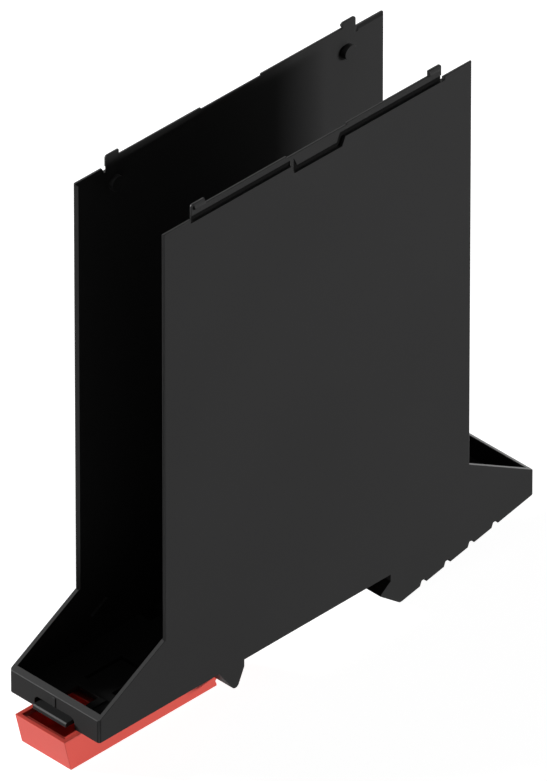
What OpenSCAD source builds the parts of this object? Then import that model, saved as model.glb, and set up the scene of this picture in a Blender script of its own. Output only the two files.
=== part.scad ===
// Base of a slim electronics enclosure that snaps onto a 35 mm top-hat rail.
// A one-piece black housing with two tall side walls and a low tray at each end,
// and a red rail foot that slides under the floor and grips the rail's flange.
// X runs along the housing, towards the fixed hook. Y runs along the rail.
// Z = 0 is the seat that lies on the rail's flanges. All sizes in millimetres.

/* [Housing] */
// Length over both end trays
length = 108.6; // [90.5:0.1:130.4]
// Module width along the rail
width = 22.5; // [18.75:0.05:27]
// Rail seat to the top of the side walls
height = 100.8; // [84:0.1:121]
// Thickness of the side walls
wall = 0.9; // [0.75:0.05:1.1]
// Thickness of the end walls
end_wall = 1.2; // [1:0.05:1.5]
// Thickness of the floor
floor_t = 1.2; // [1:0.05:1.5]
// Radius of the upright corners of the trays
corner_r = 0.6; // [0.45:0.05:0.8]
// Radius of the upright outer edges of the side walls
edge_r = 0.35; // [0.25:0.05:0.4]
// Bevel on the inner free edges of the side walls
wall_bevel = 0.45; // [0.3:0.05:0.45]

/* [End trays] */
// Length of a tray, from the end wall's face to the tall side wall
tray_len = 16.25; // [13.5:0.05:19.5]
// Height of the end wall above the rail seat
tray_h = 4.75; // [4:0.05:5.7]
// Height at which the sloped rim meets the tall side wall
rim_h = 14.0; // [11.6:0.1:16.8]
// Length of the short sloped rib inside each tray wall, along the housing
tray_rib_len = 3.8; // [3:0.1:4.6]
// How far that rib stands out of the wall
tray_rib_h = 0.6; // [0.4:0.1:0.8]

/* [Rail] */
// Width of the top-hat rail
rail_w = 35; // [35:0.1:35.6]
// Thickness of the rail's flange
rail_t = 1.0; // [1:0.05:1.2]
// Play between the rail's edge and the leg beside the foot
leg_play = 0.8; // [0.6:0.05:1]
// Play between the rail's edge and the end of the hook's slot
hook_play = 0.65; // [0.5:0.05:0.8]
// Depth of the foot and of the hook below the rail seat
stand_h = 7.24; // [6.02:0.02:8.7]

/* [Fixed hook] */
// How far the hook's tip reaches under the flange
hook_reach = 1.9; // [1.5:0.1:2.3]
// Height of the slot at its closed end
slot_h = 1.4; // [1.3:0.05:1.7]
// Extra opening of the slot at the hook's tip
slot_flare = 1.7; // [1.3:0.1:2]
// Blunt height of the hook's tip
tip_t = 0.4; // [0.3:0.05:0.5]
// Lowest point of the hook, measured from the end of its slot
hook_bottom = 2.65; // [2.2:0.05:3.2]
// Thickness of the sloped bottom beyond the hook
bottom_t = 1.6; // [1.4:0.05:1.9]
// Height of the outer end of the sloped bottom below the rail seat
bottom_end = 0.45; // [0.3:0.05:0.5]
// Number of finger notches in the sloped bottom
notches = 4; // [2:1:5]
// Pitch of the finger notches
notch_pitch = 6.0; // [5:0.1:6.4]
// Width of a finger notch
notch_w = 2.1; // [1.8:0.1:2.6]
// Depth of a finger notch
notch_depth = 0.75; // [0.6:0.05:0.9]

/* [Legs beside the foot] */
// Length of a leg at its root
leg_root = 6.25; // [5.4:0.05:7.4]
// Depth below the rail seat at which a leg's two sides would meet
leg_h = 5.95; // [5:0.05:6.4]
// Distance of that point from the rail side
leg_lean = 2.05; // [1.7:0.05:2.5]
// Radius of the leg's rounded tip
leg_r = 0.9; // [0.7:0.05:1]

/* [Cover lip] */
// Half length of the lip that carries the cover
lip_half = 30.8; // [25.7:0.1:31.5]
// Free gap between the lip's end and the full wall
lip_gap = 0.5; // [0.4:0.05:0.6]
// Height of the lip above the side wall
lip_h = 1.5; // [1.2:0.05:1.8]
// Set-back of the lip from the outer face
lip_set = 0.4; // [0.3:0.02:0.45]
// Drop of the outer skin's edge below the side wall's top
skin_drop = 0.8; // [0.6:0.05:1]
// Height of the shadow groove between skin and lip
groove_h = 1.05; // [0.9:0.05:1.25]
// Depth of the shadow groove
groove_d = 0.6; // [0.5:0.02:0.65]
// Half length of the notch in the skin, at its floor
notch_half = 5.8; // [4.8:0.1:7]
// Depth of the notch in the skin
skin_notch = 1.75; // [1.5:0.05:2.1]
// Slant of the notch's flanks
flank = 0.8; // [0.6:0.05:1]
// Width of the bridge that ties the lip to the skin
bridge_w = 0.9; // [0.7:0.05:1.1]
// Half length of the lowered middle of the lip
dip_half = 7.4; // [7.1:0.1:8.8]
// Depth of the lowered middle of the lip
dip = 0.4; // [0.3:0.05:0.5]

/* [Latch tabs and pegs] */
// Length of a latch tab
tab_len = 3.2; // [2.7:0.1:3.8]
// Height of a latch tab above the lip
tab_h = 1.1; // [0.9:0.05:1.3]
// Radius of the tab's outer top corner
tab_r = 0.5; // [0.4:0.05:0.6]
// Height of the barb on a latch tab
barb_h = 1.3; // [1:0.05:1.5]
// Diameter of the pegs inside the side walls
peg_d = 3.0; // [2.5:0.1:3.6]
// Length of the pegs
peg_len = 1.0; // [0.8:0.05:1.2]
// Distance of the pegs from the middle of the housing
peg_x = 28.7; // [24:0.1:33]
// Distance of the pegs below the side wall's top
peg_drop = 3.8; // [3.3:0.1:4.5]

/* [Release lever slot] */
// Width of the opening in the end wall
slot_w = 9.9; // [8.3:0.1:11]
// Height of the opening in the end wall
slot_top = 2.3; // [2:0.05:2.7]
// Radius of the opening's upper corners
slot_r = 1.0; // [0.8:0.1:1.2]
// Width of the lever lip
lever_w = 8.4; // [7:0.1:9.4]
// Thickness of the lever lip
lever_t = 0.95; // [0.8:0.05:1.1]
// Bevel on the lever lip's outer upper edge
lever_bevel = 0.25; // [0.2:0.05:0.3]
// How far the lever lip stands out of the end wall
lever_out = 1.25; // [1.05:0.05:1.5]
// Length of the lever pad inside the tray
lever_in = 8.8; // [7.4:0.1:10]
// Height of the blade gap under the lever lip
blade_gap = 0.5; // [0.4:0.05:0.6]
// Distance of the window in the tray's floor from the end wall's face
sight_in = 4.6; // [3.9:0.1:5]
// Length of that window
sight_len = 3.7; // [3.1:0.1:3.8]
// Width of that window
sight_w = 5.1; // [4.3:0.1:6.1]
// Width of the mould's witness rib on the end wall
witness_w = 0.75; // [0.6:0.05:0.9]
// Height of that rib above the end wall's face
witness_h = 0.15; // [0.1:0.05:0.2]

/* [Rail foot] */
// Width of the foot
foot_w = 12.4; // [11.4:0.1:14.9]
// Gap between the foot and the floor above it
foot_gap = 0.52; // [0.45:0.01:0.62]
// How far the foot stands out of the housing's end
foot_out = 3.63; // [3.1:0.01:4.3]
// Lean of the foot's front face
foot_lean = 1.63; // [1.3:0.01:1.9]
// How far the nose reaches under the rail's flange
nose_reach = 1.7; // [1.4:0.05:2]
// Gap between the nose and the flange
nose_gap = 0.25; // [0.2:0.01:0.3]
// Height of the nose's blunt tip
nose_tip = 0.55; // [0.45:0.05:0.65]
// Travel of the foot when it is pulled to free the rail
travel = 3.5; // [2.9:0.1:4.2]
// Outer ledge round the blade pocket
rim_out = 0.95; // [0.8:0.05:1.15]
// Inner ledge round the blade pocket
rim_in = 0.7; // [0.6:0.05:0.85]
// Step between the two ledges
rim_step = 0.3; // [0.25:0.05:0.35]
// Length of the blade pocket
pocket_len = 10.0; // [8.4:0.1:12]
// Thickness of the foot's bottom under the pockets
foot_floor = 1.3; // [1.1:0.05:1.5]
// Thickness of the foot's cross walls
web_t = 1.5; // [1.25:0.05:1.8]
// Side wall of the foot beside the spring
foot_wall = 2.0; // [1.8:0.05:2.2]

/* [Foot guides] */
// Gap between the foot's sides and what guides them
side_gap = 0.3; // [0.25:0.01:0.35]
// Gap round the guide lips in the foot's grooves
guide_gap = 0.2; // [0.17:0.01:0.24]
// Depth of the grooves in the foot's sides
guide_in = 0.9; // [0.8:0.02:1]
// Height of a guide lip
guide_lip = 0.9; // [0.75:0.05:1.1]
// Depth of the guide lip's middle below the floor
guide_z = 2.3; // [2.1:0.05:2.6]
// Thickness of a guide rail
guide_t = 1.2; // [1:0.05:1.4]
// Length of the guide rails
guide_len = 19.0; // [16:0.1:20]

/* [Stop tongue] */
// Outer width of the slot round the tongue
tongue_slot_w = 7.7; // [6.6:0.1:8.2]
// Width of that slot's own cut
tongue_cut = 0.8; // [0.65:0.05:0.95]
// Length of the tongue
tongue_len = 8.3; // [7:0.1:9.4]
// Thickness of the stop post under the tongue
post_t = 2.0; // [1.7:0.05:2.3]
// Depth of the stop post below the floor
post_h = 3.9; // [3.3:0.05:4.5]

/* [Foot spring] */
// Thickness of the spring's leaf
leaf_t = 0.7; // [0.6:0.02:0.8]
// Height of the spring's leaf
leaf_h = 4.4; // [3.9:0.1:4.8]
// Number of cross leaves
leaves = 5; // [3:2:7]
// Free length of the spring
spring_len = 10.5; // [9.6:0.1:12.6]
// Thickness of the pad that bears on the stop post
spring_pad = 0.9; // [0.75:0.05:1.1]
// Length of the stem at each end of the spring
spring_stem = 0.7; // [0.6:0.05:0.85]
// Gap between the spring's pad and the stop post
spring_gap = 0.2; // [0.15:0.01:0.25]

/* [Hidden] */
$fn = 48;
eps = 0.01;
over = 2;

// Housing
end_x = length / 2;
side_y = width / 2;
panel_x = end_x - tray_len;
inner_x = end_x - end_wall;
inner_y = side_y - wall;
rim_slope = (rim_h - tray_h) / tray_len;

// Rail, hook and sloped bottom
leg_x = -rail_w / 2 - leg_play;
hook_x = rail_w / 2 + hook_play;
hook_tip_x = rail_w / 2 - hook_reach;
hook_low_x = hook_x + hook_bottom;
hook_tip_z = -slot_h - slot_flare;
bottom_slope = (stand_h - bottom_end) / (end_x - hook_low_x);
bottom_up = bottom_t * sqrt(1 + bottom_slope * bottom_slope);
notch_x0 = hook_low_x + (end_x - hook_low_x - (notches - 1) * notch_pitch) * 0.385;

// Legs
leg_root_x = leg_x - leg_root;
leg_tip = [leg_x - leg_lean, -leg_h];
leg_out = unit([leg_root_x, 0] - leg_tip);
leg_in = unit([leg_x, -slot_h] - leg_tip);
leg_half_angle = acos(leg_out * leg_in) / 2;

// Cover lip
skin_z = height - skin_drop;
lip_z = height + lip_h;
tab_z = lip_z + tab_h;
wall_end_x = lip_half + lip_gap;
bridge_x = -notch_half - flank / 2;

// Foot
foot_y = foot_w / 2;
channel_y = foot_y + side_gap;
foot_x = -end_x - foot_out;
foot_top = -foot_gap;
nose_x = -rail_w / 2 + nose_reach;
nose_top = -rail_t - nose_gap;
step_x = leg_x - side_gap;
heel_x = leg_tip.x + 0.2;
pocket_x = foot_x + rim_out + rim_in;
pocket_y = foot_y - rim_out - rim_in;

// Stop tongue, foot window and spring, from the window's far wall backwards
window_x1 = leg_root_x + 0.5;
spring_x = window_x1 - spring_len;
post_x1 = spring_x - spring_gap;
post_x0 = post_x1 - post_t;
window_x0 = post_x0 - side_gap;
window_y = foot_y - foot_wall;
tongue_x0 = post_x1 - tongue_len;
spring_z0 = -stand_h + 0.9;
leaf_pitch = (spring_len - spring_pad - 2 * spring_stem - leaf_t) / (leaves - 1);
leaf_y = window_y - side_gap - leaf_pitch / 2 - leaf_t / 2;

// Guide rails
guide_x1 = leg_root_x - travel;
guide_x0 = guide_x1 - guide_len;
groove_y = foot_y - guide_in;
lip_y = groove_y + guide_gap;

function unit(v) = v / norm(v);
function bottom_z(x) = -bottom_end - (end_x - x) * bottom_slope;

// A profile drawn in X and Z, carried along Y from -w/2 to w/2
module along_y(w) {
    rotate([90, 0, 0])
        linear_extrude(height = w, center = true)
            children();
}

// A profile drawn in Y and Z, carried along X from x0 to x1
module along_x(x0, x1) {
    translate([x0, 0, 0])
        rotate([90, 0, 90])
            linear_extrude(height = x1 - x0)
                children();
}

// A profile drawn in X and Z, between two distances y0 and y1 on both sides
module on_both_sides(y0, y1) {
    for (side = [-1, 1])
        translate([0, side * (y0 + y1) / 2, 0])
            along_y(y1 - y0)
                children();
}

module block(low, high) {
    translate(low)
        cube(high - low);
}

module rounded_plan(half_x, half_y, r, z0, z1) {
    translate([0, 0, z0])
        linear_extrude(height = z1 - z0)
            union() {
                square([2 * half_x, 2 * (half_y - r)], center = true);
                square([2 * (half_x - r), 2 * half_y], center = true);
                for (sx = [-1, 1], sy = [-1, 1])
                    translate([sx * (half_x - r), sy * (half_y - r)])
                        circle(r);
            }
}

// Side view of the lower housing: trays, rail seat, leg and hook
module tub_profile() {
    difference() {
        union() {
            polygon([
                [-end_x, 0], [-end_x, tray_h], [-panel_x, rim_h],
                [panel_x, rim_h], [end_x, tray_h], [end_x, -bottom_end],
                [hook_low_x + 0.3, bottom_z(hook_low_x)], [hook_low_x - 0.3, -stand_h],
                [hook_tip_x + tip_t + 1.3, hook_tip_z - tip_t - 1.3],
                [hook_tip_x, hook_tip_z - tip_t], [hook_tip_x + 0.3, hook_tip_z],
                [hook_x, -slot_h], [hook_x, 0]
            ]);
            leg_profile();
        }
        finger_notches();
    }
}

// A leg that leans towards the rail, with a rounded tip between its two sides
module leg_profile() {
    tangent = leg_r / tan(leg_half_angle);
    polygon([
        [leg_root_x, 0], leg_tip + leg_out * tangent, leg_tip + leg_in * tangent,
        [leg_x, -slot_h], [leg_x, 0]
    ]);
    translate(leg_tip + unit(leg_out + leg_in) * leg_r / sin(leg_half_angle))
        circle(leg_r);
}

// Shallow notches for the finger, cut across the sloped bottom
module finger_notches() {
    for (i = [0:notches - 1]) {
        x = notch_x0 + i * notch_pitch;
        z = bottom_z(x);
        polygon([
            [x - notch_w / 2, z - over], [x - notch_w / 2, z - 0.1],
            [x - notch_w / 2 + 0.35, z + notch_depth], [x + notch_w / 2 - 0.8, z + notch_depth],
            [x + notch_w / 2, z - over]
        ]);
    }
}

// Side view of the room inside the housing
module cavity_profile() {
    core_x = hook_x + floor_t;
    polygon([
        [-inner_x, floor_t], [core_x, floor_t],
        [core_x, -stand_h + 2.8], [core_x + 2.2, bottom_z(core_x + 2.2) + bottom_up],
        [inner_x, bottom_z(inner_x) + bottom_up], [inner_x, tab_z + over],
        [-inner_x, tab_z + over]
    ]);
}

// Hollow inside a leg, open to the tray, with sides that follow the leg's
module leg_core_profile() {
    depth = leg_h * 0.47;
    polygon([
        [leg_root_x + 1.6, floor_t + eps], [leg_root_x + 1.6, 0],
        [leg_root_x + 1.6 + depth * (leg_root - leg_lean) / leg_h, -depth],
        [leg_x - 1.3 - (depth - slot_h) * leg_lean / (leg_h - slot_h), -depth],
        [leg_x - 1.3, -slot_h], [leg_x - 1.3, floor_t + eps]
    ]);
}

// Edge of the outer skin: straight, with a notch in the middle
module skin_cut_profile() {
    polygon([
        [-wall_end_x, skin_z], [-notch_half - flank, skin_z],
        [-notch_half, skin_z - skin_notch], [notch_half, skin_z - skin_notch],
        [notch_half + flank, skin_z], [wall_end_x, skin_z],
        [wall_end_x, tab_z + over], [-wall_end_x, tab_z + over]
    ]);
}

// Shadow groove that follows the skin's edge, with the bridge left standing
module groove_profile() {
    inset = groove_h * 0.85;
    difference() {
        polygon([
            [-wall_end_x, skin_z], [-notch_half - flank, skin_z],
            [-notch_half, skin_z - skin_notch], [notch_half, skin_z - skin_notch],
            [notch_half + flank, skin_z], [wall_end_x, skin_z],
            [wall_end_x, skin_z + groove_h], [notch_half + flank - inset, skin_z + groove_h],
            [notch_half - inset, skin_z - skin_notch + groove_h],
            [-notch_half + inset, skin_z - skin_notch + groove_h],
            [-notch_half - flank + inset, skin_z + groove_h], [-wall_end_x, skin_z + groove_h]
        ]);
        translate([bridge_x - bridge_w / 2, skin_z - skin_notch - over])
            square([bridge_w, skin_notch + groove_h + 2 * over]);
    }
}

// Side view of the lip, its lowered middle and its two latch tabs
module lip_profile() {
    difference() {
        translate([-lip_half, skin_z - skin_notch])
            square([2 * lip_half, lip_z - skin_z + skin_notch]);
        translate([-dip_half, lip_z - dip])
            square([2 * dip_half, dip + over]);
    }
    for (side = [0, 1])
        mirror([side, 0])
            tab_profile();
}

module tab_profile() {
    union() {
        translate([lip_half - tab_len, lip_z - eps])
            square([tab_len - tab_r, tab_h + eps]);
        translate([lip_half - tab_r - eps, lip_z - eps])
            square([tab_r + eps, tab_h - tab_r + eps]);
        translate([lip_half - tab_r, tab_z - tab_r])
            circle(tab_r);
    }
}

// Barb on the outer face of a tab, level with the housing's side at its crest
module barb_section() {
    polygon([
        [side_y - lip_set - eps, tab_z - barb_h], [side_y, tab_z - barb_h * 0.72],
        [side_y, tab_z - barb_h * 0.6], [side_y - lip_set - eps, tab_z - 0.1]
    ]);
}

// Arched opening for the lever lip, seen from the end
module lever_opening() {
    translate([-slot_w / 2, -over])
        square([slot_w, slot_top - slot_r + over]);
    translate([-slot_w / 2 + slot_r, -over])
        square([slot_w - 2 * slot_r, slot_top + over]);
    for (side = [-1, 1])
        translate([side * (slot_w / 2 - slot_r), slot_top - slot_r])
            circle(slot_r);
}

module outer_form() {
    intersection() {
        along_y(width)
            tub_profile();
        rounded_plan(end_x, side_y, corner_r, -stand_h - over, rim_h + over);
    }
    rounded_plan(panel_x, side_y, edge_r, floor_t, height);
    along_y(width - 2 * lip_set)
        lip_profile();
}

module hollows() {
    // Room for the electronics
    along_y(2 * inner_y)
        cavity_profile();
    // Channel that the foot slides in
    block([-end_x - over, -channel_y, -stand_h - over], [leg_x + over, channel_y, 0]);
    // Legs cored from the tray
    on_both_sides(channel_y + floor_t, inner_y)
        leg_core_profile();
    // Skin edge, shadow groove and the free ends of the lip
    on_both_sides(side_y - lip_set, side_y + over)
        skin_cut_profile();
    on_both_sides(side_y - groove_d, side_y + over)
        groove_profile();
    for (side = [-1, 1])
        block([side * (lip_half + lip_gap / 2) - lip_gap / 2, -side_y - over, skin_z],
              [side * (lip_half + lip_gap / 2) + lip_gap / 2, side_y + over, tab_z + over]);
    // Opening and blade gap of the release lever
    along_x(-end_x - over, -inner_x + eps)
        lever_opening();
    block([-end_x - over, -slot_w / 2, -over], [-end_x + lever_in, slot_w / 2, blade_gap]);
    floor_window();
    // Cut round the stop tongue
    tongue_slot();
    for (sx = [0, 1], side = [0, 1])
        mirror([sx, 0, 0])
            mirror([0, side, 0])
                free_edge_bevels();
}

// Bevels on a side wall's inner edges, up its end and along its top as far as the lip
module free_edge_bevels() {
    cut = wall_bevel + eps;
    translate([0, 0, rim_h])
        linear_extrude(height = height - rim_h + over)
            polygon([
                [panel_x - cut, inner_y - eps], [panel_x + eps, inner_y + cut],
                [panel_x + eps, inner_y - eps]
            ]);
    along_x(wall_end_x, panel_x + eps)
        polygon([
            [inner_y - eps, height - cut], [inner_y + cut, height + eps],
            [inner_y - eps, height + eps]
        ]);
}

// Window in the left tray's floor, over the foot's pocket
module floor_window() {
    block([-end_x + sight_in, -sight_w / 2, -over],
          [-end_x + sight_in + sight_len, sight_w / 2, floor_t + over]);
}

module tongue_slot() {
    difference() {
        block([tongue_x0, -tongue_slot_w / 2, -over],
              [post_x1 + tongue_cut, tongue_slot_w / 2, floor_t + over]);
        block([tongue_x0 - over, -tongue_slot_w / 2 + tongue_cut, -2 * over],
              [post_x1, tongue_slot_w / 2 - tongue_cut, floor_t + 2 * over]);
    }
}

// Stop post under the tongue, ramped so that the foot snaps in past it
module stop_post() {
    along_y(tongue_slot_w - 2 * tongue_cut - 0.8)
        polygon([
            [post_x0, eps], [post_x0, -post_h * 0.45], [post_x0 + post_t / 2, -post_h],
            [post_x1, -post_h], [post_x1, eps]
        ]);
}

// Guide rails whose lips run in the foot's grooves
module guide_rails() {
    on_both_sides(channel_y, channel_y + guide_t)
        translate([guide_x0, -guide_z - guide_lip / 2])
            square([guide_len, guide_z + guide_lip / 2 + eps]);
    on_both_sides(lip_y, channel_y + guide_t / 2)
        translate([guide_x0, -guide_z - guide_lip / 2])
            square([guide_len, guide_lip]);
}

// Pad on the tray's floor that ends in the lip under which the blade is turned
module lever_pad() {
    top = blade_gap + lever_t;
    difference() {
        along_y(lever_w)
            polygon([
                [-end_x - lever_out, blade_gap], [-end_x - lever_out, top - lever_bevel],
                [-end_x - lever_out + lever_bevel, top], [-end_x + lever_in, top],
                [-end_x + lever_in, blade_gap]
            ]);
        floor_window();
    }
}

// Short sloped ribs that run along the inside of the tray walls
module tray_ribs() {
    rib_t = 0.8;
    x0 = -panel_x + 2.85;
    z0 = rim_h - 7.6;
    for (side = [0, 1])
        mirror([side, 0, 0])
            on_both_sides(inner_y - tray_rib_h, inner_y + eps)
                polygon([
                    [x0, z0], [x0 + tray_rib_len, z0 + tray_rib_len * rim_slope],
                    [x0 + tray_rib_len, z0 + tray_rib_len * rim_slope + rib_t], [x0, z0 + rib_t]
                ]);
}

module pegs() {
    for (sx = [-1, 1], sy = [-1, 1])
        translate([sx * peg_x, sy * inner_y, height - peg_drop])
            rotate([sy * 90, 0, 0])
                translate([0, 0, -wall / 2])
                    cylinder(d = peg_d, h = peg_len + wall / 2);
}

module base_housing() {
    color([0.16, 0.16, 0.17])
        union() {
            difference() {
                outer_form();
                hollows();
            }
            lever_pad();
            stop_post();
            guide_rails();
            tray_ribs();
            pegs();
            for (side = [0, 1], sx = [0, 1])
                mirror([sx, 0, 0])
                    mirror([0, side, 0])
                        along_x(lip_half - tab_len, lip_half - tab_r)
                            barb_section();
            block([-end_x - witness_h, -witness_w / 2, slot_top - eps],
                  [-end_x + eps, witness_w / 2, tray_h - 0.4]);
        }
}

// Side view of the foot: leaning front, heel, ramp and nose
module foot_profile() {
    polygon([
        [foot_x, foot_top], [foot_x + foot_lean, -stand_h], [heel_x, -stand_h],
        [heel_x - 0.1, -stand_h + 0.55], [heel_x - 0.35, -stand_h + 1.15],
        [heel_x + 0.35, -stand_h + 2.1], [nose_x, nose_top - nose_tip],
        [nose_x, nose_top - 0.2], [nose_x - 0.25, nose_top],
        [step_x, nose_top], [step_x - 0.6, foot_top]
    ]);
}

module foot_hollows() {
    pocket_x1 = pocket_x + pocket_len;
    core_x0 = pocket_x1 + web_t;
    // Ledge and pocket for the screwdriver's blade
    block([pocket_x - rim_in, -pocket_y - rim_in, foot_top - rim_step],
          [pocket_x1, pocket_y + rim_in, foot_top + over]);
    block([pocket_x, -pocket_y, -stand_h + foot_floor], [pocket_x1, pocket_y, over]);
    // Cored middle, window for the spring and cored nose
    block([core_x0, -pocket_y, -stand_h + foot_floor], [window_x0 - web_t, pocket_y, over]);
    block([window_x0, -window_y, -stand_h - over], [window_x1, window_y, over]);
    block([window_x1 + web_t, -window_y, -stand_h + foot_floor],
          [heel_x - web_t, window_y, over]);
    // Grooves that run on the housing's guide rails, open at the nose
    on_both_sides(groove_y, foot_y + over)
        translate([guide_x0 - travel - guide_gap, -guide_z - guide_lip / 2 - guide_gap])
            square([nose_x - guide_x0 + travel + over, guide_lip + 2 * guide_gap]);
}

module rail_foot() {
    color([0.85, 0.27, 0.22])
        difference() {
            along_y(foot_w)
                foot_profile();
            foot_hollows();
        }
}

// Plan of the spring: a pad, a stem, cross leaves joined by round bends, a stem
module spring_plan() {
    x0 = spring_x + spring_pad + spring_stem + leaf_t / 2;
    translate([spring_x, -pocket_y / 2])
        square([spring_pad, pocket_y]);
    translate([spring_x + spring_pad - eps, -leaf_t / 2])
        square([spring_stem + leaf_t / 2 + eps, leaf_t]);
    translate([window_x1 - spring_stem - leaf_t / 2, -leaf_t / 2])
        square([spring_stem + leaf_t / 2, leaf_t]);
    for (i = [0:leaves - 1]) {
        first = i == 0;
        last = i == leaves - 1;
        low = first ? -leaf_t / 2 : -leaf_y;
        high = last ? leaf_t / 2 : leaf_y;
        translate([x0 + i * leaf_pitch - leaf_t / 2, low])
            square([leaf_t, high - low]);
    }
    for (i = [0:leaves - 2])
        translate([x0 + (i + 0.5) * leaf_pitch, (i % 2 == 0 ? 1 : -1) * leaf_y])
            mirror([0, i % 2])
                half_ring();
}

module half_ring() {
    intersection() {
        difference() {
            circle((leaf_pitch + leaf_t) / 2);
            circle((leaf_pitch - leaf_t) / 2);
        }
        translate([-leaf_pitch, -eps])
            square([2 * leaf_pitch, leaf_pitch + leaf_t]);
    }
}

module foot_spring() {
    color([0.85, 0.27, 0.22])
        translate([0, 0, spring_z0])
            linear_extrude(height = leaf_h)
                spring_plan();
}

base_housing();
rail_foot();
foot_spring();
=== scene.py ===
from math import cos, radians, sin

import bmesh
import bpy
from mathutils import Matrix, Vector


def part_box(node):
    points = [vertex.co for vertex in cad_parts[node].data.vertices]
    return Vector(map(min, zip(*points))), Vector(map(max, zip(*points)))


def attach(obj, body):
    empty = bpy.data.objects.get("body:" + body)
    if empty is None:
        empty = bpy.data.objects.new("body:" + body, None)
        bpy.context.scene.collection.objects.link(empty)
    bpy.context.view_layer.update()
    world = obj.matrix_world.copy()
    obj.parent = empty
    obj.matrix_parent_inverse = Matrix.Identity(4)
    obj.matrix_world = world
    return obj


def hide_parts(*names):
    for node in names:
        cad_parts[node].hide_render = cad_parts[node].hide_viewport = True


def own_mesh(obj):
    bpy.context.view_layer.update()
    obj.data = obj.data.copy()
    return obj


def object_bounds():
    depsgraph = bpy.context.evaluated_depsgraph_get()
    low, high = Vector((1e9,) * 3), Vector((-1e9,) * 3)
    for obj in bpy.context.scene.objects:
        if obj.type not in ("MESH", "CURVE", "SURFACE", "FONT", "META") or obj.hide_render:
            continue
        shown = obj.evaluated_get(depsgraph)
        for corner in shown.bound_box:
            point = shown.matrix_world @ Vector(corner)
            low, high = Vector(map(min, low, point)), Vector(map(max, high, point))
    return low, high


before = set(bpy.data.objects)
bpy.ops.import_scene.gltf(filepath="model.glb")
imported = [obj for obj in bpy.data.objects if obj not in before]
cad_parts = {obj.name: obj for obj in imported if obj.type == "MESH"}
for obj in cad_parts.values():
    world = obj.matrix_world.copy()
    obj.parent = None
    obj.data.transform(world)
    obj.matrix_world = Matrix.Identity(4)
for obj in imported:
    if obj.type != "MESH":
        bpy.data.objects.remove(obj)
cad_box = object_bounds()


# The housing is one moulding in black, glass-filled polyamide: walls, trays, rail hook, legs and
# the lip for the cover. Its faces have a fine spark-eroded grain. Its rims and edges come from
# ground steel, where the halves of the mould meet, and are smoother. Their slightly lighter black
# is a painted highlight.
HOUSING_EDGE = 0.00011
EDGE_ANGLE = radians(50)
SMOOTH_ANGLE = radians(35)
FLAT_ANGLE = radians(0.4)
WELD = 1e-6
FLAT_WEIGHT = 90


def finish_shape(piece):
    """Turns a piece and its modifiers into one plain mesh."""
    evaluated = piece.evaluated_get(bpy.context.evaluated_depsgraph_get())
    baked = bpy.data.meshes.new_from_object(evaluated)
    piece.modifiers.clear()
    piece.data = baked


def moulded_copy(node, name, edge, edge_slot=0):
    """A plain mesh of a moulding as packed, with its outer edges rounded by the mould."""
    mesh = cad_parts[node].data.copy()
    mesh.name = name
    work = bmesh.new()
    work.from_mesh(mesh)
    bmesh.ops.remove_doubles(work, verts=work.verts, dist=WELD)
    bmesh.ops.dissolve_limit(
        work, angle_limit=FLAT_ANGLE, verts=work.verts, edges=work.edges,
        use_dissolve_boundaries=False,
    )
    sharp = [e for e in work.edges if e.is_manifold and e.calc_face_angle_signed() > EDGE_ANGLE]
    bmesh.ops.bevel(
        work, geom=sharp, offset=edge, offset_type="OFFSET", segments=2, profile=0.5,
        affect="EDGES", clamp_overlap=False, miter_outer="SHARP", material=edge_slot,
    )
    for face in work.faces:
        face.smooth = True
    for line in work.edges:
        line.smooth = not line.is_manifold or line.calc_face_angle() < SMOOTH_ANGLE
    work.to_mesh(mesh)
    work.free()
    mesh.materials.clear()
    piece = bpy.data.objects.new(name, mesh)
    bpy.context.scene.collection.objects.link(piece)
    weighted = piece.modifiers.new("flat faces stay flat", "WEIGHTED_NORMAL")
    weighted.keep_sharp = True
    weighted.weight = FLAT_WEIGHT
    finish_shape(piece)
    return piece


# Noise scales count marks to the metre.
FLOW_MARKS, FLOW_RANGE = 34, (0.3, 0.7)
GLOSS_SPREAD = 0.05
GRAIN_ROUGHNESS, GRAIN_STRENGTH = 0.6, 0.35


def moulded_plastic(name, colour, shade, roughness, specular, grain, relief):
    """Moulded plastic: the pigment with faint flow marks, and a fine grain from the mould."""
    material = bpy.data.materials.new(name)
    material.use_nodes = True
    nodes, links = material.node_tree.nodes, material.node_tree.links
    plastic = nodes["Principled BSDF"]
    plastic.inputs["Specular IOR Level"].default_value = specular
    place = nodes.new("ShaderNodeTexCoord")

    flow = nodes.new("ShaderNodeTexNoise")
    flow.inputs["Scale"].default_value = FLOW_MARKS
    flow.inputs["Detail"].default_value = 3
    links.new(place.outputs["Object"], flow.inputs["Vector"])
    pigment = nodes.new("ShaderNodeValToRGB")
    darker = [channel * shade for channel in colour]
    for stop, position, tone in zip(pigment.color_ramp.elements, FLOW_RANGE, (darker, colour)):
        stop.position, stop.color = position, (*tone, 1)
    links.new(flow.outputs["Fac"], pigment.inputs["Fac"])
    links.new(pigment.outputs["Color"], plastic.inputs["Base Color"])

    sparks = nodes.new("ShaderNodeTexNoise")
    sparks.inputs["Scale"].default_value = grain
    sparks.inputs["Detail"].default_value = 2
    sparks.inputs["Roughness"].default_value = GRAIN_ROUGHNESS
    links.new(place.outputs["Object"], sparks.inputs["Vector"])
    gloss = nodes.new("ShaderNodeMapRange")
    gloss.inputs["To Min"].default_value = roughness - GLOSS_SPREAD
    gloss.inputs["To Max"].default_value = roughness + GLOSS_SPREAD
    links.new(sparks.outputs["Fac"], gloss.inputs["Value"])
    links.new(gloss.outputs["Result"], plastic.inputs["Roughness"])
    bump = nodes.new("ShaderNodeBump")
    bump.inputs["Strength"].default_value = GRAIN_STRENGTH
    bump.inputs["Distance"].default_value = relief
    links.new(sparks.outputs["Fac"], bump.inputs["Height"])
    links.new(bump.outputs["Normal"], plastic.inputs["Normal"])
    return material


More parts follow.
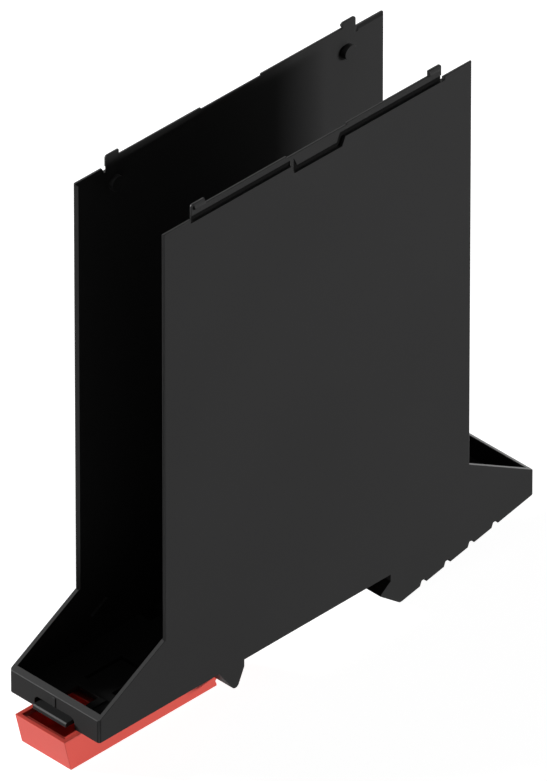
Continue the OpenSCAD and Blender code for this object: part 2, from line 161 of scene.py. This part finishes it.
black_polyamide = moulded_plastic(
    "black polyamide", colour=(0.0265, 0.0265, 0.0267), shade=0.94,
    roughness=0.45, specular=0.02, grain=5200, relief=0.00002,
)
# Lower roughness and more gloss for the smoother edges; the slightly lighter black is a painted
# highlight.
smooth_polyamide_with_painted_highlight = moulded_plastic(
    "black polyamide from ground steel with painted highlight", colour=(0.0275, 0.0275, 0.0277), shade=0.94,
    roughness=0.36, specular=0.22, grain=5200, relief=0.000006,
)
# A near-black painted shade for the back of the groove, in place of a deeper groove's shadow.
painted_groove_shade = moulded_plastic(
    "black polyamide with painted groove shade", colour=(0.005, 0.005, 0.005), shade=0.9,
    roughness=0.6, specular=0.01, grain=5200, relief=0.00002,
)

# The faces keep the first finish. These are the places of the edge finish and the painted shade.
ON_EDGE, GROOVE_SHADE_SLOT = 1, 2

housing = moulded_copy("base_housing", "housing", HOUSING_EDGE, edge_slot=ON_EDGE)
for finish in (black_polyamide, smooth_polyamide_with_painted_highlight, painted_groove_shade):
    housing.data.materials.append(finish)

# Rims face upwards and don't lean along the rail, and carry the edge finish with its painted
# highlight. They lie above the tray's floor, or on the lever lip past the end wall. The walls'
# inner bevels are slanted between X and Y. The back of the groove under the lip gets a painted
# shade, darker than the rest, in place of the shadow of more depth than the wall allows.
RIM_UP, RIM_LEAN, RIM_LOW, RIM_FAR = 0.2, 0.3, 0.003, 0.0544
SLANT_LOW, SLANT_HIGH = 0.5, 0.85
GROOVE_SQUARE, GROOVE_BACK, GROOVE_LOW, GROOVE_PLAY = 0.9, 0.01065, 0.097, 0.00006

for face in housing.data.polygons:
    place, way = face.center, face.normal
    across, along = abs(way.y), abs(way.x)
    rim = way.z > RIM_UP and across < RIM_LEAN and (place.z > RIM_LOW or abs(place.x) > RIM_FAR)
    slanted = SLANT_LOW < along < SLANT_HIGH and SLANT_LOW < across < SLANT_HIGH
    on_back = abs(abs(place.y) - GROOVE_BACK) < GROOVE_PLAY and place.z > GROOVE_LOW
    # The groove's back gets the painted shade.
    if on_back and across > GROOVE_SQUARE:
        face.material_index = GROOVE_SHADE_SLOT
    elif rim or slanted:
        face.material_index = ON_EDGE
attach(housing, "housing")
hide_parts("base_housing")


# The foot is a red polyamide moulding that slides in the channel under the floor. Its leaning
# front stands out of the housing so that a screwdriver in its pocket can pull it off the rail.
FOOT_EDGE = 0.00012

red_polyamide = moulded_plastic(
    "red polyamide", colour=(0.68, 0.078, 0.058), shade=0.96,
    roughness=0.42, specular=0.25, grain=4200, relief=0.00001,
)
foot = moulded_copy("rail_foot", "foot", FOOT_EDGE)
foot.data.materials.append(red_polyamide)
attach(foot, "foot")
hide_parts("rail_foot")


# The spring is a zigzag leaf moulded with the foot, and ends in a pad. It stands in the foot's
# window, between the housing's stop post and the window's far wall, and closes as the foot is
# pulled. Its leaves follow one path, turned back and forth at an even pitch.
SPRING_SIZES = {
    "Leaves": 5, "Pitch": 0.001875, "Reach": 0.00355, "First Leaf": -0.0326, "Thickness": 0.0007,
    "Pad Depth": 0.0009, "Pad Width": 0.00455, "Turn Steps": 8,
}
SPRING_EDGE = 0.00006
LEAF_WELD, PAD_OVERLAP = 0.00003, 0.00001
TURN_SHARE = 0.498


def zigzag_leaf():
    """A tree that sweeps a leaf along a zigzag between a pad and a wall."""
    tree = bpy.data.node_groups.new("zigzag leaf", "GeometryNodeTree")
    nodes, links = tree.nodes, tree.links
    tree.interface.new_socket("Geometry", in_out="OUTPUT", socket_type="NodeSocketGeometry")
    for name in ("Leaves", "Turn Steps"):
        tree.interface.new_socket(name, in_out="INPUT", socket_type="NodeSocketInt")
    for name in (
        "Pitch", "Reach", "First Leaf", "Thickness", "Height", "Pad Start", "Pad Depth",
        "Pad Width", "Wall", "Middle Height",
    ):
        tree.interface.new_socket(name, in_out="INPUT", socket_type="NodeSocketFloat")
    tree.interface.new_socket("Plastic", in_out="INPUT", socket_type="NodeSocketMaterial")
    size = nodes.new("NodeGroupInput").outputs

    def math(operation, *values):
        node = nodes.new("ShaderNodeMath")
        node.operation = operation
        for socket, value in zip(node.inputs, values):
            if isinstance(value, (int, float)):
                socket.default_value = value
            else:
                links.new(value, socket)
        return node.outputs[0]

    # Two points lie on each leaf, and one at each end of the path. A point's number says which
    # leaf it is on, and on which side that leaf is joined to the next. The first two points and
    # the last two lie on the middle line.
    number = nodes.new("GeometryNodeInputIndex").outputs[0]
    last = math("ADD", math("MULTIPLY", size["Leaves"], 2), 1)
    leaf = math("FLOOR", math("DIVIDE", math("SUBTRACT", number, 1), 2))
    along = math("ADD", size["First Leaf"], math("MULTIPLY", size["Pitch"], leaf))
    pad_face = math("ADD", size["Pad Start"], size["Pad Depth"])
    along = math("MAXIMUM", along, math("SUBTRACT", pad_face, PAD_OVERLAP))
    along = math("MINIMUM", along, size["Wall"])
    turn = math("FLOOR", math("DIVIDE", math("SUBTRACT", number, 2), 2))
    side = math("SUBTRACT", 1, math("MULTIPLY", math("FLOORED_MODULO", turn, 2), 2))
    past_stem = math("GREATER_THAN", number, 1.5)
    before_stem = math("LESS_THAN", number, math("SUBTRACT", last, 1.5))
    swing = math("MULTIPLY", past_stem, before_stem)
    across = math("MULTIPLY", math("MULTIPLY", size["Reach"], side), swing)
    place = nodes.new("ShaderNodeCombineXYZ")
    for socket, value in zip(place.inputs, (along, across, size["Middle Height"])):
        links.new(value, socket)

    line = nodes.new("GeometryNodeMeshLine")
    links.new(math("ADD", last, 1), line.inputs["Count"])
    path = nodes.new("GeometryNodeMeshToCurve")
    links.new(line.outputs[0], path.inputs["Mesh"])
    bent = nodes.new("GeometryNodeSetPosition")
    links.new(path.outputs[0], bent.inputs["Geometry"])
    links.new(place.outputs[0], bent.inputs["Position"])
    turned = nodes.new("GeometryNodeFilletCurve")
    turned.mode = "POLY"
    turned.inputs["Limit Radius"].default_value = True
    links.new(bent.outputs[0], turned.inputs["Curve"])
    links.new(size["Turn Steps"], turned.inputs["Count"])
    links.new(math("MULTIPLY", size["Pitch"], TURN_SHARE), turned.inputs["Radius"])
    level = nodes.new("GeometryNodeSetCurveNormal")
    level.mode = "Z_UP"
    links.new(turned.outputs[0], level.inputs["Curve"])
    section = nodes.new("GeometryNodeCurvePrimitiveQuadrilateral")
    links.new(size["Thickness"], section.inputs["Width"])
    links.new(size["Height"], section.inputs["Height"])
    swept = nodes.new("GeometryNodeCurveToMesh")
    swept.inputs["Fill Caps"].default_value = True
    links.new(level.outputs[0], swept.inputs["Curve"])
    links.new(section.outputs[0], swept.inputs["Profile Curve"])
    closed = nodes.new("GeometryNodeMergeByDistance")
    closed.inputs["Distance"].default_value = LEAF_WELD
    links.new(swept.outputs[0], closed.inputs["Geometry"])

    block = nodes.new("GeometryNodeMeshCube")
    extent = nodes.new("ShaderNodeCombineXYZ")
    for socket, value in zip(extent.inputs, (size["Pad Depth"], size["Pad Width"], size["Height"])):
        links.new(value, socket)
    links.new(extent.outputs[0], block.inputs["Size"])
    seat = nodes.new("ShaderNodeCombineXYZ")
    half_pad = math("MULTIPLY", size["Pad Depth"], 0.5)
    links.new(math("ADD", size["Pad Start"], half_pad), seat.inputs[0])
    links.new(size["Middle Height"], seat.inputs[2])
    pad = nodes.new("GeometryNodeTransform")
    links.new(block.outputs["Mesh"], pad.inputs["Geometry"])
    links.new(seat.outputs[0], pad.inputs["Translation"])

    joined = nodes.new("GeometryNodeJoinGeometry")
    links.new(closed.outputs[0], joined.inputs[0])
    links.new(pad.outputs[0], joined.inputs[0])
    real = nodes.new("GeometryNodeRealizeInstances")
    links.new(joined.outputs[0], real.inputs[0])
    finished = nodes.new("GeometryNodeSetMaterial")
    links.new(real.outputs[0], finished.inputs["Geometry"])
    links.new(size["Plastic"], finished.inputs["Material"])
    links.new(finished.outputs[0], nodes.new("NodeGroupOutput").inputs[0])
    return tree


spring_low, spring_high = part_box("foot_spring")
SPRING_SIZES.update({
    "Height": spring_high.z - spring_low.z, "Middle Height": (spring_low.z + spring_high.z) / 2,
    "Pad Start": spring_low.x, "Wall": spring_high.x, "Plastic": red_polyamide,
})
spring = bpy.data.objects.new("spring", bpy.data.meshes.new("spring"))
bpy.context.scene.collection.objects.link(spring)
zigzag = spring.modifiers.new("zigzag leaf", "NODES")
zigzag.node_group = zigzag_leaf()
for socket in zigzag.node_group.interface.items_tree:
    if socket.in_out == "INPUT":
        zigzag[socket.identifier] = SPRING_SIZES[socket.name]
rounded = spring.modifiers.new("moulded edges", "BEVEL")
rounded.width, rounded.segments = SPRING_EDGE, 2
rounded.limit_method, rounded.angle_limit = "ANGLE", EDGE_ANGLE
finish_shape(spring)
spring.data.materials.clear()
spring.data.materials.append(red_polyamide)
for face in spring.data.polygons:
    face.use_smooth, face.material_index = True, 0
spring.data.set_sharp_from_angle(angle=SMOOTH_ANGLE)
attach(spring, "foot")
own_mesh(spring)
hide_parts("foot_spring")


# The floor is a pale sheet of paper at the height of the foot's underside. It shines where it is
# seen, so that it fades into the white room, and keeps the object's shadow.
FLOOR_RADIUS, FLOOR_SIDES = 1.6, 96
PAPER_SHADE, PAPER_SHINE = 0.5, 0.93


def seen_directly(nodes, links):
    """One where a surface is seen, also in a reflection, and zero where it only throws light."""
    path = nodes.new("ShaderNodeLightPath")
    seen = path.outputs["Is Camera Ray"]
    for way in ("Is Glossy Ray", "Is Transmission Ray"):
        either = nodes.new("ShaderNodeMath")
        either.operation = "MAXIMUM"
        links.new(seen, either.inputs[0])
        links.new(path.outputs[way], either.inputs[1])
        seen = either.outputs[0]
    return seen


bpy.ops.mesh.primitive_circle_add(
    vertices=FLOOR_SIDES, radius=FLOOR_RADIUS, fill_type="NGON", location=(0, 0, cad_box[0].z)
)
floor = bpy.context.object
floor.name = "floor"
paper = bpy.data.materials.new("pale paper")
paper.use_nodes = True
nodes, links = paper.node_tree.nodes, paper.node_tree.links
nodes.remove(nodes["Principled BSDF"])
lit = nodes.new("ShaderNodeBsdfDiffuse")
lit.inputs["Color"].default_value = (PAPER_SHADE, PAPER_SHADE, PAPER_SHADE, 1)
glow = nodes.new("ShaderNodeEmission")
both = nodes.new("ShaderNodeAddShader")
level = nodes.new("ShaderNodeMath")
level.operation = "MULTIPLY"
level.inputs[1].default_value = PAPER_SHINE
links.new(seen_directly(nodes, links), level.inputs[0])
links.new(level.outputs[0], glow.inputs["Strength"])
links.new(lit.outputs[0], both.inputs[0])
links.new(glow.outputs[0], both.inputs[1])
links.new(both.outputs[0], nodes["Material Output"].inputs["Surface"])
floor.data.materials.append(paper)


# The room is white where it is seen, and dim as a source of light.
ROOM_LIGHT, ROOM_SEEN = 0.02, 1.0

room = bpy.data.worlds.new("white room")
bpy.context.scene.world = room
room.use_nodes = True
nodes, links = room.node_tree.nodes, room.node_tree.links
strength = nodes.new("ShaderNodeMapRange")
strength.inputs["To Min"].default_value = ROOM_LIGHT
strength.inputs["To Max"].default_value = ROOM_SEEN
links.new(seen_directly(nodes, links), strength.inputs["Value"])
nodes["Background"].inputs["Color"].default_value = (1, 1, 1, 1)
links.new(strength.outputs["Result"], nodes["Background"].inputs["Strength"])
bpy.context.scene.view_settings.view_transform = "Standard"


# Two low softboxes light the object. One stands to the right of its front and lights the near
# side, and through the open end a part of the far wall. The other stands behind its left and
# lights the left ends and the foot's front.
AIM = Vector((0.0000356, -0.0000354, 0.043384))
LAMP_DISTANCE = 1.2


def towards(azimuth, elevation):
    """Unit vector from the object to a place round it. Azimuth 0 is in front, on the -Y side."""
    return Vector((sin(azimuth) * cos(elevation), -cos(azimuth) * cos(elevation), sin(elevation)))


def stand_up(name, data, azimuth, elevation, distance):
    """Places a lamp or the camera round the object, turned towards it."""
    stand = bpy.data.objects.new(name, data)
    back = towards(azimuth, elevation)
    stand.location = AIM + back * distance
    stand.rotation_euler = (-back).to_track_quat("-Z", "Y").to_euler()
    bpy.context.scene.collection.objects.link(stand)
    return stand


def softbox(name, azimuth, elevation, width, height, power):
    lamp = bpy.data.lights.new(name, "AREA")
    lamp.shape = "RECTANGLE"
    lamp.size, lamp.size_y = width, height
    lamp.energy = power
    stand_up(name, lamp, azimuth, elevation, LAMP_DISTANCE)


softbox(
    "right softbox", azimuth=radians(44.5), elevation=radians(2),
    width=0.36, height=0.12, power=17.9,
)
softbox(
    "left softbox", azimuth=radians(-147), elevation=radians(13),
    width=0.4, height=0.13, power=26,
)


# The camera looks from the front left and from above, with a long lens that keeps the object's
# edges nearly parallel.
CAMERA_AZIMUTH, CAMERA_ELEVATION = radians(-44.855), radians(35.145)
FRAME_HEIGHT = 0.13752
LENS, SENSOR = 1150, 36
NEAR, FAR = 0.1, 20

camera_data = bpy.data.cameras.new("camera")
camera_data.lens = LENS
camera_data.sensor_width = SENSOR
camera_data.clip_start, camera_data.clip_end = NEAR, FAR
camera_distance = FRAME_HEIGHT * LENS / SENSOR
bpy.context.scene.camera = stand_up(
    "camera", camera_data, CAMERA_AZIMUTH, CAMERA_ELEVATION, camera_distance
)
